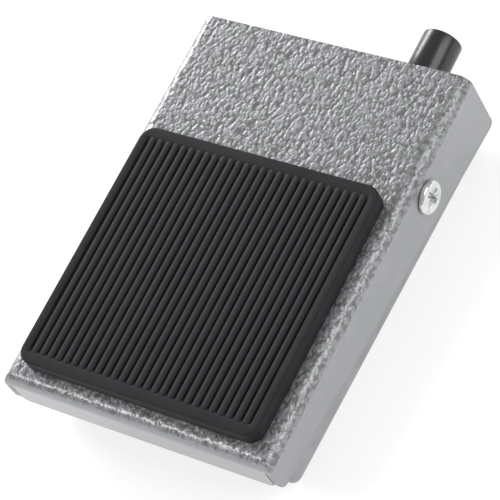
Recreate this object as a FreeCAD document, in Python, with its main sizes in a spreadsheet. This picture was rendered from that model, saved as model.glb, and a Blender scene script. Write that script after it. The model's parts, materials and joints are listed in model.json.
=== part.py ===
import FreeCAD, Part

import math
import os
import re

import Sketcher

# Foot-operated volume pedal.  A sheet steel treadle rocks on two shouldered screws over a
# sheet steel base pan; a toothed sector under the treadle turns a small potentiometer.
#
# Row frame: X to the right, Y from the toe of the treadle to the cable gland, Z up.  The
# origin is on the floor, under the middle of the whole pedal.  Everything on the treadle is
# drawn in the treadle's own frame, with its origin on the pivot axis and its top plate flat,
# and is then placed on the pivot at the treadle's resting slope.

Vector = FreeCAD.Vector
Rotation = FreeCAD.Rotation

doc = FreeCAD.newDocument("volume_pedal")

# ---------------------------------------------------------------- driving dimensions (mm, deg)

DIMENSIONS = {
    "tread_width": 72.0,
    "tread_length": 100.0,
    "steel": 1.5,               # sheet thickness of treadle and base
    "pivot_back": 73.0,         # toe face to pivot axis, along the top plate
    "pivot_drop": 7.5,          # top plate down to pivot axis
    "skirt_toe": 9.9,           # depth of the treadle's skirt at the toe
    "skirt_heel": 18.5,         # and at the heel
    "bend": 3.0,                # outer bend radius of the treadle
    "skirt_corner": 1.8,
    "seam": 0.22,               # open seam between toe skirt and side skirts
    "seam_below": 3.2,          # where the seam starts, below the top plate
    "rest_slope": 2.17,         # top plate falls towards the toe by this much at rest
    "travel": 5.0,              # treadle travel
    "pivot_y": 17.1,
    "pivot_z": 16.9,
    "foot_drop": 2.0,           # base pan above the floor
    "base_half": 33.8,
    "base_toe": 68.2,           # pivot axis to toe wall of the base
    "base_heel": 27.4,          # pivot axis to heel wall of the base, at its foot
    "wall_toe": 11.7,           # height of the base walls at the toe
    "wall_heel": 21.1,          # and at the heel
    "heel_lean": 3.0,           # the heel wall leans forward
    "base_bend": 2.2,
    "pad_half": 32.0,
    "pad_toe": 69.0,            # pivot axis to toe edge of the tread pad
    "pad_heel": 6.0,            # pivot axis to heel edge of the tread pad
    "pad_thick": 4.0,
    "pad_corner": 3.6,
    "pad_edge": 0.35,
    "rib_pitch": 2.18,
    "groove_width": 0.8,
    "groove_depth": 0.9,
    "groove_margin": 2.6,       # plain border at the ends of the ribs
    "rib_count": 27.0,
    "screw_shank": 2.0,
    "screw_head": 4.0,
    "screw_head_tall": 1.3,
    "screw_crown": 0.7,         # rounding of the head's rim
    "recess_long": 4.2,         # cross recess in the head
    "recess_wide": 0.9,
    "recess_deep": 0.9,
    "bush_outer": 3.0,
    "bush_inner": 2.05,
    "bush_proud": 0.15,         # bush is this much longer than the skirt's outer face
    "pivot_fit": 0.05,          # radial clearance of the treadle on its bushes
    "gland_x": 21.15,
    "gland_z": 18.0,
    "gland_outer": 4.8,
    "gland_bore": 2.75,
    "gland_length": 12.0,
    "gland_neck": 3.9,
    "module": 0.5,              # gear module
    "sector_teeth": 184.0,      # teeth in a full wheel of the sector's size
    "pinion_teeth": 14.0,
    "pinion_drop": 6.0,         # pinion axis below the pivot axis
    "pinion_x": 6.0,
    "pinion_wide": 4.0,
    "sector_x": 7.0,
    "sector_thick": 2.0,
    "sector_hollow": 38.0,      # radius of the plate's edge behind its teeth
    "sector_neck": 2.5,         # how low the neck under the foot reaches, above the pivot axis
    "sector_foot": 12.0,        # side of the square foot
    "sector_foot_toe": 45.0,    # pivot axis to the toe end of the foot
    "sector_foot_thick": 1.5,
    "backlash": 0.06,
    "shaft": 1.5,
    "shaft_fit": 0.06,
    "stud_x": 14.5,
    "stud_toe": 42.0,
    "stud_heel": 36.0,
    "stud_radius": 1.5,
    "stud_end": 0.8,            # stud ends this far above the pivot axis
    "pot_face": -4.2,
    "pot_half": 4.8,
    "pot_tall": 4.75,
    "pot_deep": 5.0,
    "pot_bush": 2.75,
    "pot_plate_top": 14.9,
    "bracket": 1.0,             # bracket sheet thickness
    "bracket_screw_x": 2.6,
    "bracket_screw_y": 5.2,     # bracket screws each side of the pinion's axis
    "rivet": 1.5,
    "spring_top": 20.6,
    "foot_radius": 5.0,
    "foot_well": 3.2,           # sunk well in a foot for its rivet's head
    "foot_well_deep": 1.0,
    "rivet_head": 2.8,
    "rivet_head_tall": 0.7,
    "rivet_roll": 2.4,          # rolled-over end of a rivet, inside the base
    "rivet_roll_tall": 0.8,
    "foot_x": 26.0,
    "foot_toe": 59.0,           # pivot axis to the toe feet
    "foot_heel": 19.0,          # pivot axis to the heel feet
    "spring_y": 28.0,           # pivot axis to the return spring
    "spring_radius": 4.6,
    "spring_wire": 0.6,         # wire radius
    "spring_turns": 6.0,
    "bumper_x": 17.0,
    "bumper_y": 56.0,
    "bumper_radius": 4.5,
    "bumper_top": 15.0,
    "stop_hole": 1.6,           # holes in the pan for the bumpers' and posts' screws
    "post_x": 11.0,
    "post_y": 19.0,
    "post_radius": 3.0,
    "post_top": 19.3,
    "cap_radius": 3.6,
    "cap_top": 23.2,
}

sheet = doc.addObject("Spreadsheet::Sheet", "Dims")
for row, (alias, value) in enumerate(DIMENSIONS.items(), start=1):
    sheet.set(f"A{row}", alias)
    sheet.set(f"B{row}", str(value))
    sheet.setAlias(f"B{row}", alias)
doc.recompute()


def size(alias):
    """A driving dimension as a plain number."""
    return float(getattr(sheet, alias))


def formula(text):
    """The formula with each driving dimension's name made a reference to the sheet."""
    functions = {"sin", "cos", "tan", "sqrt", "deg"}
    return re.sub(r"[a-z][a-z_]*", lambda m: m[0] if m[0] in functions else "Dims." + m[0], str(text))


def bind(thing, **formulas):
    """Bind properties of an object; x, y and z are its placement."""
    for name, text in formulas.items():
        path = "Placement.Base." + name if name in "xyz" else name
        thing.setExpression(path, formula(text))
    return thing


# ---------------------------------------------------------------- drawing helpers

TURN = {
    "X": Rotation(Vector(0, 1, 0), 90),
    "Y": Rotation(Vector(1, 0, 0), -90),
    "Z": Rotation(),
}


def primitive(kind, label, turn=None, **formulas):
    solid = doc.addObject("Part::" + kind, label)
    solid.Placement = FreeCAD.Placement(Vector(), turn or Rotation())
    return bind(solid, **formulas)


def cylinder(label, radius, tall, turn=None, **place):
    return primitive("Cylinder", label, turn, Radius=radius, Height=tall, **place)


def box(label, wide, deep, tall, **place):
    return primitive("Box", label, None, Length=wide, Width=deep, Height=tall, **place)


def cut(label, base, tool):
    result = doc.addObject("Part::Cut", label)
    result.Base = base
    result.Tool = tool
    return result


def join(label, *solids):
    result = doc.addObject("Part::MultiFuse", label)
    result.Shapes = list(solids)
    return result


def mirrored(label, source):
    """The same piece on the other side of the pedal."""
    twin = doc.addObject("Part::Mirroring", label)
    twin.Source = source
    twin.Normal = Vector(1, 0, 0)
    return twin


def pair(label, right):
    """A node of two alike solids, right and left."""
    return join(label, right, mirrored(label + "_left", right))


def ring(label, outer, inner, tall, turn=None, **place):
    return cut(label, cylinder(label + "_outer", outer, tall, turn, **place),
               cylinder(label + "_bore", inner, tall, turn, **place))


def hexagon(label, flats, tall, turn=None, **place):
    """A hexagonal prism, by its size across flats."""
    prism = primitive("Prism", label, turn, Circumradius=f"({flats}) / sqrt(3)", Height=tall, **place)
    prism.Polygon = 6
    return prism


def new_body(label):
    body = doc.addObject("PartDesign::Body", label)
    planes = {plane.Role: plane for plane in body.Origin.OriginFeatures}
    return body, planes


def new_sketch(body, label, plane):
    sketch = body.newObject("Sketcher::SketchObject", label)
    sketch.AttachmentSupport = (plane, [""])
    sketch.MapMode = "FlatFace"
    return sketch


def evaluate(text):
    """The value of a formula, as a sketch's first guess."""
    return float(sheet.evalExpression(formula(text)))


def hold(sketch, geometry, end, point):
    """Hold a point of a sketch at a place given by two formulas."""
    for kind, text in zip(("DistanceX", "DistanceY"), point):
        rule = Sketcher.Constraint(kind, -1, 1, geometry, end, evaluate(text))
        sketch.setExpression(f"Constraints[{sketch.addConstraint(rule)}]", formula(text))


def outline(sketch, points):
    """A closed outline through points given as formulas."""
    corners = [Vector(evaluate(across), evaluate(up), 0) for across, up in points]
    count = len(corners)
    first = sketch.GeometryCount
    for index, corner in enumerate(corners):
        sketch.addGeometry(Part.LineSegment(corner, corners[(index + 1) % count]))
    for index in range(count):
        following = first + (index + 1) % count
        sketch.addConstraint(Sketcher.Constraint("Coincident", first + index, 2, following, 1))
    for index, point in enumerate(points):
        hold(sketch, first + index, 1, point)


def circle(sketch, x, y, radius):
    middle = Vector(evaluate(x), evaluate(y), 0)
    number = sketch.addGeometry(Part.Circle(middle, Vector(0, 0, 1), evaluate(radius)))
    hold(sketch, number, 3, (x, y))
    held = sketch.addConstraint(Sketcher.Constraint("Radius", number, evaluate(radius)))
    sketch.setExpression(f"Constraints[{held}]", formula(radius))


def pad(body, sketch, length, both_ways=False, turned=False):
    feature = body.newObject("PartDesign::Pad", sketch.Name + "_pad")
    feature.Profile = sketch
    feature.SideType = "Symmetric" if both_ways else "One side"
    feature.Reversed = turned
    bind(feature, Length=length)
    sketch.Visibility = False
    doc.recompute()
    return feature


def pocket(body, sketch, length=None, both_ways=False, turned=False):
    """Cut the sketch out of the body, right through where no length is given."""
    before = body.Shape.Volume
    feature = body.newObject("PartDesign::Pocket", sketch.Name + "_pocket")
    feature.Profile = sketch
    feature.SideType = "Symmetric" if both_ways else "One side"
    feature.Reversed = turned
    if length is None:
        feature.Type = "ThroughAll"
    else:
        bind(feature, Length=length)
    doc.recompute()
    assert body.Shape.Volume < before - 0.01, sketch.Name + " cuts nothing"
    return feature


def round_edges(body, label, radius, chosen):
    """Round the edges of the body's last feature for which chosen(edge) is true."""
    base = body.Tip
    names = [f"Edge{number}" for number, edge in enumerate(base.Shape.Edges, start=1) if chosen(edge)]
    assert names, label + " finds no edge"
    feature = body.newObject("PartDesign::Fillet", label)
    feature.Base = (base, names)
    bind(feature, Radius=radius)
    doc.recompute()
    return feature


def lies(edge, along=None, **where):
    """Whether a straight edge runs along an axis, with its middle at the places named."""
    box_of = edge.BoundBox
    spans = {"X": box_of.XLength, "Y": box_of.YLength, "Z": box_of.ZLength}
    if edge.Curve.TypeId != "Part::GeomLine":
        return False
    if along and spans[along] < 0.8 * edge.Length:
        return False
    middle = {"x": abs(edge.CenterOfMass.x), "y": edge.CenterOfMass.y, "z": edge.CenterOfMass.z}
    return all(abs(middle[axis] - evaluate(text)) < 0.12 for axis, text in where.items())


def on_treadle(thing):
    """Place a piece that is drawn in the treadle's frame."""
    thing.Placement = FreeCAD.Placement(Vector(), Rotation(Vector(1, 0, 0), 1.0))
    thing.setExpression("Placement.Rotation.Angle", "Dims.rest_slope * 1 deg")
    return bind(thing, y="pivot_y", z="pivot_z")


nodes = []


def keep(thing):
    """Hand in this object as a node of its own, named by its Label."""
    nodes.append(thing)
    return thing


# ---------------------------------------------------------------- treadle

def make_treadle():
    body, planes = new_body("treadle")
    toe, heel = "-pivot_back", "tread_length - pivot_back"
    profile = new_sketch(body, "treadle_profile", planes["YZ_Plane"])
    outline(profile, [
        (toe, "pivot_drop - skirt_toe"),
        (heel, "pivot_drop - skirt_heel"),
        (heel, "pivot_drop"),
        (toe, "pivot_drop"),
    ])
    pad(body, profile, "tread_width", both_ways=True)
    round_edges(body, "bends", "bend", lambda edge: lies(edge, "X", y=toe, z="pivot_drop")
                or lies(edge, "Y", x="tread_width / 2", z="pivot_drop"))

    hollow = new_sketch(body, "treadle_hollow", planes["YZ_Plane"])
    outline(hollow, [
        ("-pivot_back + steel", "-tread_length"),
        ("tread_length", "-tread_length"),
        ("tread_length", "pivot_drop - steel"),
        ("-pivot_back + steel", "pivot_drop - steel"),
    ])
    pocket(body, hollow, "tread_width - 2 * steel", both_ways=True)
    round_edges(body, "bends_inside", "bend - steel",
                lambda edge: lies(edge, "X", y="-pivot_back + steel", z="pivot_drop - steel")
                or lies(edge, "Y", x="tread_width / 2 - steel", z="pivot_drop - steel"))

    seams = new_sketch(body, "toe_seams", planes["XZ_Plane"])
    for side in ("", "-"):
        outer, inner = f"{side}(tread_width / 2 - steel)", f"{side}(tread_width / 2 - steel - seam)"
        outline(seams, [
            (inner, "-tread_length"),
            (outer, "-tread_length"),
            (outer, "pivot_drop - seam_below"),
            (inner, "pivot_drop - seam_below"),
        ])
    pocket(body, seams, both_ways=True)
    foot = "pivot_drop - skirt_toe"
    round_edges(body, "toe_skirt_corners", "skirt_corner", lambda edge: lies(
        edge, "Y", x="tread_width / 2 - steel - seam", y="-pivot_back + steel / 2", z=foot))
    round_edges(body, "side_skirt_corners", "skirt_corner",
                lambda edge: lies(edge, "X", x="(tread_width - steel) / 2", y=toe, z=foot)
                or lies(edge, "X", x="(tread_width - steel) / 2", y=heel, z="pivot_drop - skirt_heel"))

    pivots = new_sketch(body, "treadle_pivot_holes", planes["YZ_Plane"])
    circle(pivots, "0", "0", "bush_outer + pivot_fit")
    pocket(body, pivots, both_ways=True)

    studs = new_sketch(body, "sector_studs", planes["XY_Plane"])
    bind(studs, **{"AttachmentOffset.Base.z": "stud_end"})
    for place in ("stud_toe", "stud_heel"):
        circle(studs, "stud_x", "-" + place, "stud_radius")
    pad(body, studs, "pivot_drop - steel - stud_end + 0.3")
    return keep(on_treadle(body))


def make_tread_pad():
    body, planes = new_body("tread_pad")
    border = new_sketch(body, "pad_outline", planes["XY_Plane"])
    bind(border, **{"AttachmentOffset.Base.z": "pivot_drop"})
    outline(border, [
        ("-pad_half", "-pad_toe"),
        ("pad_half", "-pad_toe"),
        ("pad_half", "-pad_heel"),
        ("-pad_half", "-pad_heel"),
    ])
    pad(body, border, "pad_thick")
    round_edges(body, "pad_corners", "pad_corner", lambda edge: lies(edge, "Z"))
    top = evaluate("pivot_drop + pad_thick")
    round_edges(body, "pad_rim", "pad_edge", lambda edge: edge.BoundBox.ZMin > top - 0.01)

    groove = new_sketch(body, "pad_groove", planes["XY_Plane"])
    bind(groove, **{"AttachmentOffset.Base.z": "pivot_drop + pad_thick"})
    left = "-(rib_count + 1) * rib_pitch / 2 + (rib_pitch - groove_width) / 2"
    outline(groove, [
        (left, "-pad_toe + groove_margin"),
        (left + " + groove_width", "-pad_toe + groove_margin"),
        (left + " + groove_width", "-pad_heel - groove_margin"),
        (left, "-pad_heel - groove_margin"),
    ])
    first = pocket(body, groove, "groove_depth")
    rows = body.newObject("PartDesign::LinearPattern", "pad_grooves")
    rows.Originals = [first]
    rows.Direction = (planes["X_Axis"], [""])
    bind(rows, Length="rib_count * rib_pitch", Occurrences="rib_count + 1")
    body.Tip = rows
    doc.recompute()
    return keep(on_treadle(body))


# ---------------------------------------------------------------- gears

def involute(angle):
    return math.tan(angle) - angle


def tooth(teeth, centre_angle, thinning):
    """One gear tooth about the origin, root to root, as points around its centre line."""
    pressure = math.radians(20)
    module = size("module")
    pitch = module * teeth / 2
    base = pitch * math.cos(pressure)
    root, tip = pitch - 1.15 * module, pitch + 0.8 * module
    half = math.pi / (2 * teeth) - thinning / (2 * pitch)
    flank = []
    steps = 5
    for step in range(steps + 1):
        radius = root + (tip - root) * step / steps
        spread = half + involute(pressure) - involute(math.acos(min(1.0, base / radius)))
        flank.append((radius, spread))
    around = [(radius, centre_angle - spread) for radius, spread in flank]
    around += [(radius, centre_angle + spread) for radius, spread in reversed(flank)]
    return [Vector(0, radius * math.cos(turn), radius * math.sin(turn)) for radius, turn in around]


def plate(points, start_x, thick):
    """A flat plate across X from its outline in Y and Z."""
    wire = Part.makePolygon(points + points[:1])
    return Part.Face(wire).extrude(Vector(thick, 0, 0)).translated(Vector(start_x, 0, 0))


def pinion_place():
    """The pinion's axis from the pivot axis, as Y and Z."""
    reach = size("module") * (size("sector_teeth") + size("pinion_teeth")) / 2
    drop = size("pinion_drop")
    return -math.sqrt(reach**2 - drop**2), -drop


PINION_Y = "pivot_y - sqrt(((sector_teeth + pinion_teeth) * module / 2)^2 - pinion_drop^2)"
PINION_Z = "pivot_z - pinion_drop"


def at_pinion(y="0", z="0"):
    """A place given from the pinion's axis."""
    return {"y": f"{PINION_Y} + ({y})", "z": f"{PINION_Z} + ({z})"}


def make_gear_sector():
    """The toothed sector: a plate with teeth on its toe side and a foot under the treadle."""
    teeth = size("sector_teeth")
    pitch_angle = 2 * math.pi / teeth
    along, down = pinion_place()
    mesh = math.atan2(down, along) - math.radians(size("rest_slope"))
    edge = []
    for step in (-4.5, -3.5, -2.5, -1.5, -0.5, 0.5):
        edge += tooth(teeth, mesh + step * pitch_angle, size("backlash"))
    under = size("pivot_drop") - size("steel")
    hollow = size("sector_hollow")
    low = mesh + 1.1 * pitch_angle
    foot_side, foot_thick = size("sector_foot"), size("sector_foot_thick")
    foot_toe = -size("sector_foot_toe")
    shank = [
        Vector(0, hollow * math.cos(low), hollow * math.sin(low)),
        Vector(0, foot_toe + foot_side, size("sector_neck")),
        Vector(0, foot_toe + foot_side, under),
        Vector(0, foot_toe, under),
    ]
    start, thick = size("sector_x"), size("sector_thick")
    solid = plate(edge + shank, start, thick)
    foot = Part.makeBox(foot_side, foot_side, foot_thick, Vector(start, foot_toe, under - foot_thick))
    solid = solid.fuse(foot).removeSplitter()
    for place in ("stud_toe", "stud_heel"):
        hole = Part.makeCylinder(size("stud_radius") + 0.1, 10, Vector(size("stud_x"), -size(place), 0))
        solid = solid.cut(hole)
    sector = doc.addObject("Part::Feature", "gear_sector")
    sector.Shape = solid
    return keep(on_treadle(sector))


def make_drive_pinion():
    teeth = int(size("pinion_teeth"))
    along, down = pinion_place()
    towards_pivot = math.atan2(-down, -along)
    edge = []
    for number in range(teeth):
        edge += tooth(teeth, towards_pivot + number * 2 * math.pi / teeth, size("backlash"))
    start, wide = size("pinion_x"), size("pinion_wide")
    across = Vector(1, 0, 0)
    hub = Part.makeCylinder(2.75, 3.0, Vector(start + wide, 0, 0), across)
    bore = Part.makeCylinder(size("shaft") + 0.02, wide + 5.0, Vector(start - 1, 0, 0), across)
    screw_hole = Part.makeCylinder(0.9, 4.0, Vector(start + wide + 1.5, 0, 0))
    pinion = doc.addObject("Part::Feature", "drive_pinion")
    pinion.Shape = plate(edge, start, wide).fuse(hub).cut(bore).cut(screw_hole)
    return keep(bind(pinion, y=PINION_Y, z=PINION_Z))


# ---------------------------------------------------------------- potentiometer

def make_potentiometer():
    face = "pot_face"           # mounting face of the housing, against the bracket
    half, tall = "pot_half", "pot_tall"
    block = box("pot_block", "pot_deep", f"2 * {half}", f"2 * {tall}",
                x=f"{face} - pot_deep", **at_pinion(f"-{half}", f"-{tall}"))
    collar = cylinder("pot_collar", "pot_bush", "5.5", TURN["X"], x=face, **at_pinion())
    cavity = cylinder("pot_cavity", "3.9", "pot_deep - 1", TURN["X"], x=f"{face} - pot_deep", **at_pinion())
    way = cylinder("pot_shaft_way", "shaft + shaft_fit", "20", TURN["X"], x=f"{face} - 3", **at_pinion())
    keep(cut("pot_housing", join("pot_shell", block, collar), join("pot_openings", cavity, way)))
    keep(box("pot_back", "0.6", f"2 * {half}", f"2 * {tall}",
             x=f"{face} - pot_deep - 0.6", **at_pinion(f"-{half}", f"-{tall}")))
    shaft = cylinder("pot_rod", "shaft", "pinion_x + pinion_wide + 3.4 - (pot_face - 2.4)", TURN["X"],
                     x=f"{face} - 2.4", **at_pinion())
    wiper = cylinder("pot_wiper", "3.5", "1.7", TURN["X"], x=f"{face} - 3.4", **at_pinion())
    keep(join("pot_shaft", shaft, wiper))
    lugs = [box(f"pot_lug_{number}", "0.5", "4", "1.2", x=f"{face} - 3",
                **at_pinion(half, f"{number - 1} * 2.5 - 0.6")) for number in range(3)]
    keep(join("pot_terminals", *lugs))
    keep(ring("pot_washer", "4.2", "pot_bush + 0.1", "0.5", TURN["X"], x="pot_face + bracket", **at_pinion()))
    nut = hexagon("pot_nut_prism", "7", "2", TURN["X"], x="pot_face + bracket + 0.5", **at_pinion())
    hole = cylinder("pot_nut_hole", "pot_bush + 0.05", "2", TURN["X"],
                    x="pot_face + bracket + 0.5", **at_pinion())
    keep(cut("pot_nut", nut, hole))
    keep(cylinder("pinion_screw", "0.85", "1.5", x="pinion_x + pinion_wide + 1.5", **at_pinion(z="1.55")))


def make_pot_bracket():
    upright = box("bracket_upright", "bracket", "11", "pot_plate_top - foot_drop - steel",
                  x="pot_face", y=f"{PINION_Y} - 5.5", z="foot_drop + steel")
    foot = box("bracket_foot", "9.5", "15", "bracket",
               x="pot_face", y=f"{PINION_Y} - 7.5", z="foot_drop + steel")
    collar_hole = cylinder("bracket_collar_hole", "pot_bush + 0.1", "8", TURN["X"],
                           x="pot_face - 2", **at_pinion())
    tools = [collar_hole]
    screws = []
    for number, side in enumerate(("-", "+")):
        spot = {"x": "bracket_screw_x", "y": f"{PINION_Y} {side} bracket_screw_y"}
        tools.append(cylinder(f"bracket_hole_{number}", "1.35", "6", z="foot_drop", **spot))
        head = cylinder(f"bracket_head_{number}", "2.3", "1.4", z="foot_drop + steel + bracket", **spot)
        shank = cylinder(f"bracket_shank_{number}", "1.25", "steel + bracket", z="foot_drop", **spot)
        screws += [head, shank]
    keep(cut("pot_bracket", join("bracket_blank", upright, foot), join("bracket_holes", *tools)))
    keep(join("bracket_screws", *screws))


# ---------------------------------------------------------------- base

FLOOR_TOP = "foot_drop + steel"
FEET = (("foot_x", "pivot_y - foot_toe"), ("foot_x", "pivot_y + foot_heel"))


def make_base_pan():
    body, planes = new_body("base_pan")
    top = "foot_drop + wall_heel"
    profile = new_sketch(body, "pan_profile", planes["YZ_Plane"])
    outline(profile, [
        ("-base_toe", "foot_drop"),
        ("base_heel", "foot_drop"),
        ("base_heel - wall_heel * tan(heel_lean)", top),
        ("-base_toe", "foot_drop + wall_toe"),
    ])
    pad(body, profile, "2 * base_half", both_ways=True)
    round_edges(body, "toe_uprights", "base_bend", lambda edge: lies(edge, "Z", y="-base_toe"))
    round_edges(body, "heel_uprights", "base_bend",
                lambda edge: lies(edge, "Z", z="foot_drop + wall_heel / 2", x="base_half"))
    bottom = evaluate("foot_drop") + 0.01
    round_edges(body, "bottom_bends", "base_bend", lambda edge: edge.BoundBox.ZMax < bottom)

    hollow = new_sketch(body, "pan_hollow", planes["YZ_Plane"])
    lean = "steel / cos(heel_lean) + steel * tan(heel_lean)"
    outline(hollow, [
        ("-base_toe + steel", FLOOR_TOP),
        (f"base_heel - {lean}", FLOOR_TOP),
        (f"base_heel - {lean} - 2 * wall_heel * tan(heel_lean)", "foot_drop + steel + 2 * wall_heel"),
        ("-base_toe + steel", "foot_drop + steel + 2 * wall_heel"),
    ])
    pocket(body, hollow, "2 * (base_half - steel)", both_ways=True)
    floor = evaluate(FLOOR_TOP)
    round_edges(body, "floor_bends", "base_bend - steel", lambda edge: (
        abs(edge.BoundBox.ZMax - floor) < 0.01 and abs(edge.BoundBox.ZMin - floor) < 0.01))

    pivots = new_sketch(body, "pan_pivot_holes", planes["YZ_Plane"])
    circle(pivots, "0", "pivot_z", "screw_shank + 0.1")
    pocket(body, pivots, both_ways=True)

    outlet = new_sketch(body, "gland_hole", planes["XZ_Plane"])
    circle(outlet, "gland_x", "gland_z", "gland_neck + 0.15")
    pocket(body, outlet)

    holes = new_sketch(body, "floor_holes", planes["XY_Plane"])
    for side in ("", "-"):
        for across, along in FEET:
            circle(holes, side + across, along + " - pivot_y", "rivet + 0.1")
        circle(holes, side + "bumper_x", "-bumper_y", "stop_hole")
        circle(holes, side + "post_x", "post_y", "stop_hole")
    circle(holes, "0", "-spring_y", "rivet + 0.1")
    for side in ("-", "+"):
        circle(holes, "bracket_screw_x", f"{PINION_Y} {side} bracket_screw_y - pivot_y", "1.3")
    pocket(body, holes, both_ways=True)
    return keep(bind(body, y="pivot_y"))


def make_feet():
    feet, rivets = [], []
    for number, (across, along) in enumerate(FEET):
        spot = {"x": across, "y": along}
        block = cylinder(f"foot_block_{number}", "foot_radius", "foot_drop", **spot)
        well = cylinder(f"foot_well_{number}", "foot_well", "foot_well_deep", **spot)
        hole = cylinder(f"foot_hole_{number}", "rivet + 0.1", "foot_drop", **spot)
        feet.append(cut(f"foot_{number}", block, join(f"foot_inside_{number}", well, hole)))
        head = cylinder(f"rivet_head_{number}", "rivet_head", "rivet_head_tall",
                        z="foot_well_deep - rivet_head_tall", **spot)
        shank = cylinder(f"rivet_shank_{number}", "rivet",
                         f"{FLOOR_TOP} - foot_well_deep + rivet_roll_tall / 2", z="foot_well_deep", **spot)
        roll = cylinder(f"rivet_roll_{number}", "rivet_roll", "rivet_roll_tall", z=FLOOR_TOP, **spot)
        rivets.append(join(f"rivet_{number}", head, shank, roll))
    for label, pieces in (("rubber_feet", feet), ("foot_rivets", rivets)):
        keep(join(label, *pieces, *(mirrored(piece.Name + "_left", piece) for piece in pieces)))


def make_pivot_hardware():
    """The two pivots, from the nut inside the base to the screw head outside the treadle."""
    axis = {"y": "pivot_y", "z": "pivot_z"}
    inside = "base_half - steel"
    seat = "tread_width / 2 + bush_proud"
    keep(pair("pivot_bushes", ring("pivot_bush", "bush_outer", "bush_inner", f"{seat} - base_half",
                                   TURN["X"], x="base_half", **axis)))
    keep(pair("pivot_washers", ring("pivot_washer", "5", "bush_outer + 0.05", "0.5",
                                    TURN["X"], x="base_half + 0.02", **axis)))
    nut = cut("pivot_nut", hexagon("pivot_nut_prism", "7", "3.2", TURN["X"], x=f"{inside} - 3.2", **axis),
              cylinder("pivot_nut_hole", "screw_shank + 0.03", "3.2", TURN["X"], x=f"{inside} - 3.2", **axis))
    keep(pair("pivot_nuts", nut))

    shank = cylinder("pivot_shank", "screw_shank", "8", TURN["X"], x=f"{seat} - 8", **axis)
    blank = cylinder("pivot_head", "screw_head", "screw_head_tall", TURN["X"], x=seat, **axis)
    doc.recompute()
    crown = doc.addObject("Part::Fillet", "pivot_crown")
    crown.Base = blank
    rim = max(range(len(blank.Shape.Edges)), key=lambda number: blank.Shape.Edges[number].CenterOfMass.x)
    crown.Edges = [(rim + 1, size("screw_crown"), size("screw_crown"))]
    bars = [box("recess_" + way, "recess_deep", wide, tall, x=f"{seat} + screw_head_tall - recess_deep",
                y=f"pivot_y - {wide} / 2", z=f"pivot_z - {tall} / 2")
            for way, wide, tall in (("flat", "recess_long", "recess_wide"),
                                    ("upright", "recess_wide", "recess_long"))]
    keep(pair("pivot_screws", join("pivot_screw", cut("pivot_driven", crown, join("recess", *bars)), shank)))


def make_gland():
    """The cable gland and its nut, square to the leaning heel wall."""
    lean = Rotation(Vector(1, 0, 0), -90 + size("heel_lean"))
    wall_y = "pivot_y + base_heel - (gland_z - foot_drop) * tan(heel_lean)"

    def along(distance):
        return {"x": "gland_x", "y": f"{wall_y} + ({distance}) * cos(heel_lean)",
                "z": f"gland_z + ({distance}) * sin(heel_lean)"}

    sleeve = cylinder("gland_sleeve", "gland_outer", "gland_length", lean, **along("0"))
    neck = cylinder("gland_thread", "gland_neck", "steel + 5.1", lean, **along("-steel - 5"))
    bore = cylinder("gland_way", "gland_bore", "40", lean, **along("-20"))
    keep(cut("cable_gland", join("gland_blank", sleeve, neck), bore))
    prism = hexagon("gland_nut_prism", "11", "3", lean, **along("-steel - 3.1"))
    hole = cylinder("gland_nut_hole", "gland_neck + 0.05", "3", lean, **along("-steel - 3.1"))
    keep(cut("gland_nut", prism, hole))


def make_stops():
    """Rubber bumpers under the toe, rubber-capped posts under the heel, and their screws."""
    spots = {
        "bumper": {"x": "bumper_x", "y": "pivot_y - bumper_y"},
        "post": {"x": "post_x", "y": "pivot_y + post_y"},
    }
    keep(pair("toe_bumpers", ring("toe_bumper", "bumper_radius", "1.55", f"bumper_top - ({FLOOR_TOP})",
                                  z=FLOOR_TOP, **spots["bumper"])))
    keep(pair("rest_posts", cut("rest_post",
                                hexagon("rest_post_bar", "2 * post_radius", f"post_top - ({FLOOR_TOP})",
                                        z=FLOOR_TOP, **spots["post"]),
                                cylinder("rest_post_hole", "1.55", "9", z=FLOOR_TOP, **spots["post"]))))
    keep(pair("rest_caps", cylinder("rest_cap", "cap_radius", "cap_top - post_top - 0.02",
                                    z="post_top + 0.02", **spots["post"])))
    screws = []
    for name, spot in spots.items():
        head = cylinder(name + "_screw_head", "2.75", "1.4", z="foot_drop - 1.4", **spot)
        shank = cylinder(name + "_screw_shank", "1.5", "8", z="foot_drop", **spot)
        screws.append(join(name + "_screw", head, shank))
    keep(join("floor_screws", *screws, *(mirrored(screw.Name + "_left", screw) for screw in screws)))


def make_spring():
    middle = {"x": "0", "y": "pivot_y - spring_y"}
    disc = cylinder("seat_disc", "6.3", "0.8", z=FLOOR_TOP, **middle)
    boss = cylinder("seat_boss", "3.6", "4", z=f"{FLOOR_TOP} + 0.5", **middle)
    tail = cylinder("seat_tail", "rivet", "3", z="foot_drop", **middle)
    keep(join("spring_seat", disc, boss, tail))

    under = "pivot_drop - steel"
    keep(on_treadle(join("spring_cup",
                         cylinder("cup_disc", "6.3", "0.8", y="-spring_y", z=f"{under} - 0.82"),
                         cylinder("cup_boss", "3.6", "3.2", y="-spring_y", z=f"{under} - 3.8"))))

    bottom, top = evaluate(f"{FLOOR_TOP} + 0.8"), evaluate("spring_top")
    wire = size("spring_wire")
    tall = top - bottom - 2 * wire - 0.04
    radius = size("spring_radius")
    rise = tall / size("spring_turns")
    path = Part.makeHelix(rise, tall, radius)
    along_wire = Vector(0, 2 * math.pi * radius, rise)
    start = Part.Wire(Part.makeCircle(wire, Vector(radius, 0, 0), along_wire))
    spring = doc.addObject("Part::Feature", "return_spring")
    spring.Shape = Part.Wire(path.Edges).makePipeShell([start], True, True)
    keep(bind(spring, y="pivot_y - spring_y", z=f"{FLOOR_TOP} + 0.82 + spring_wire"))


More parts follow.
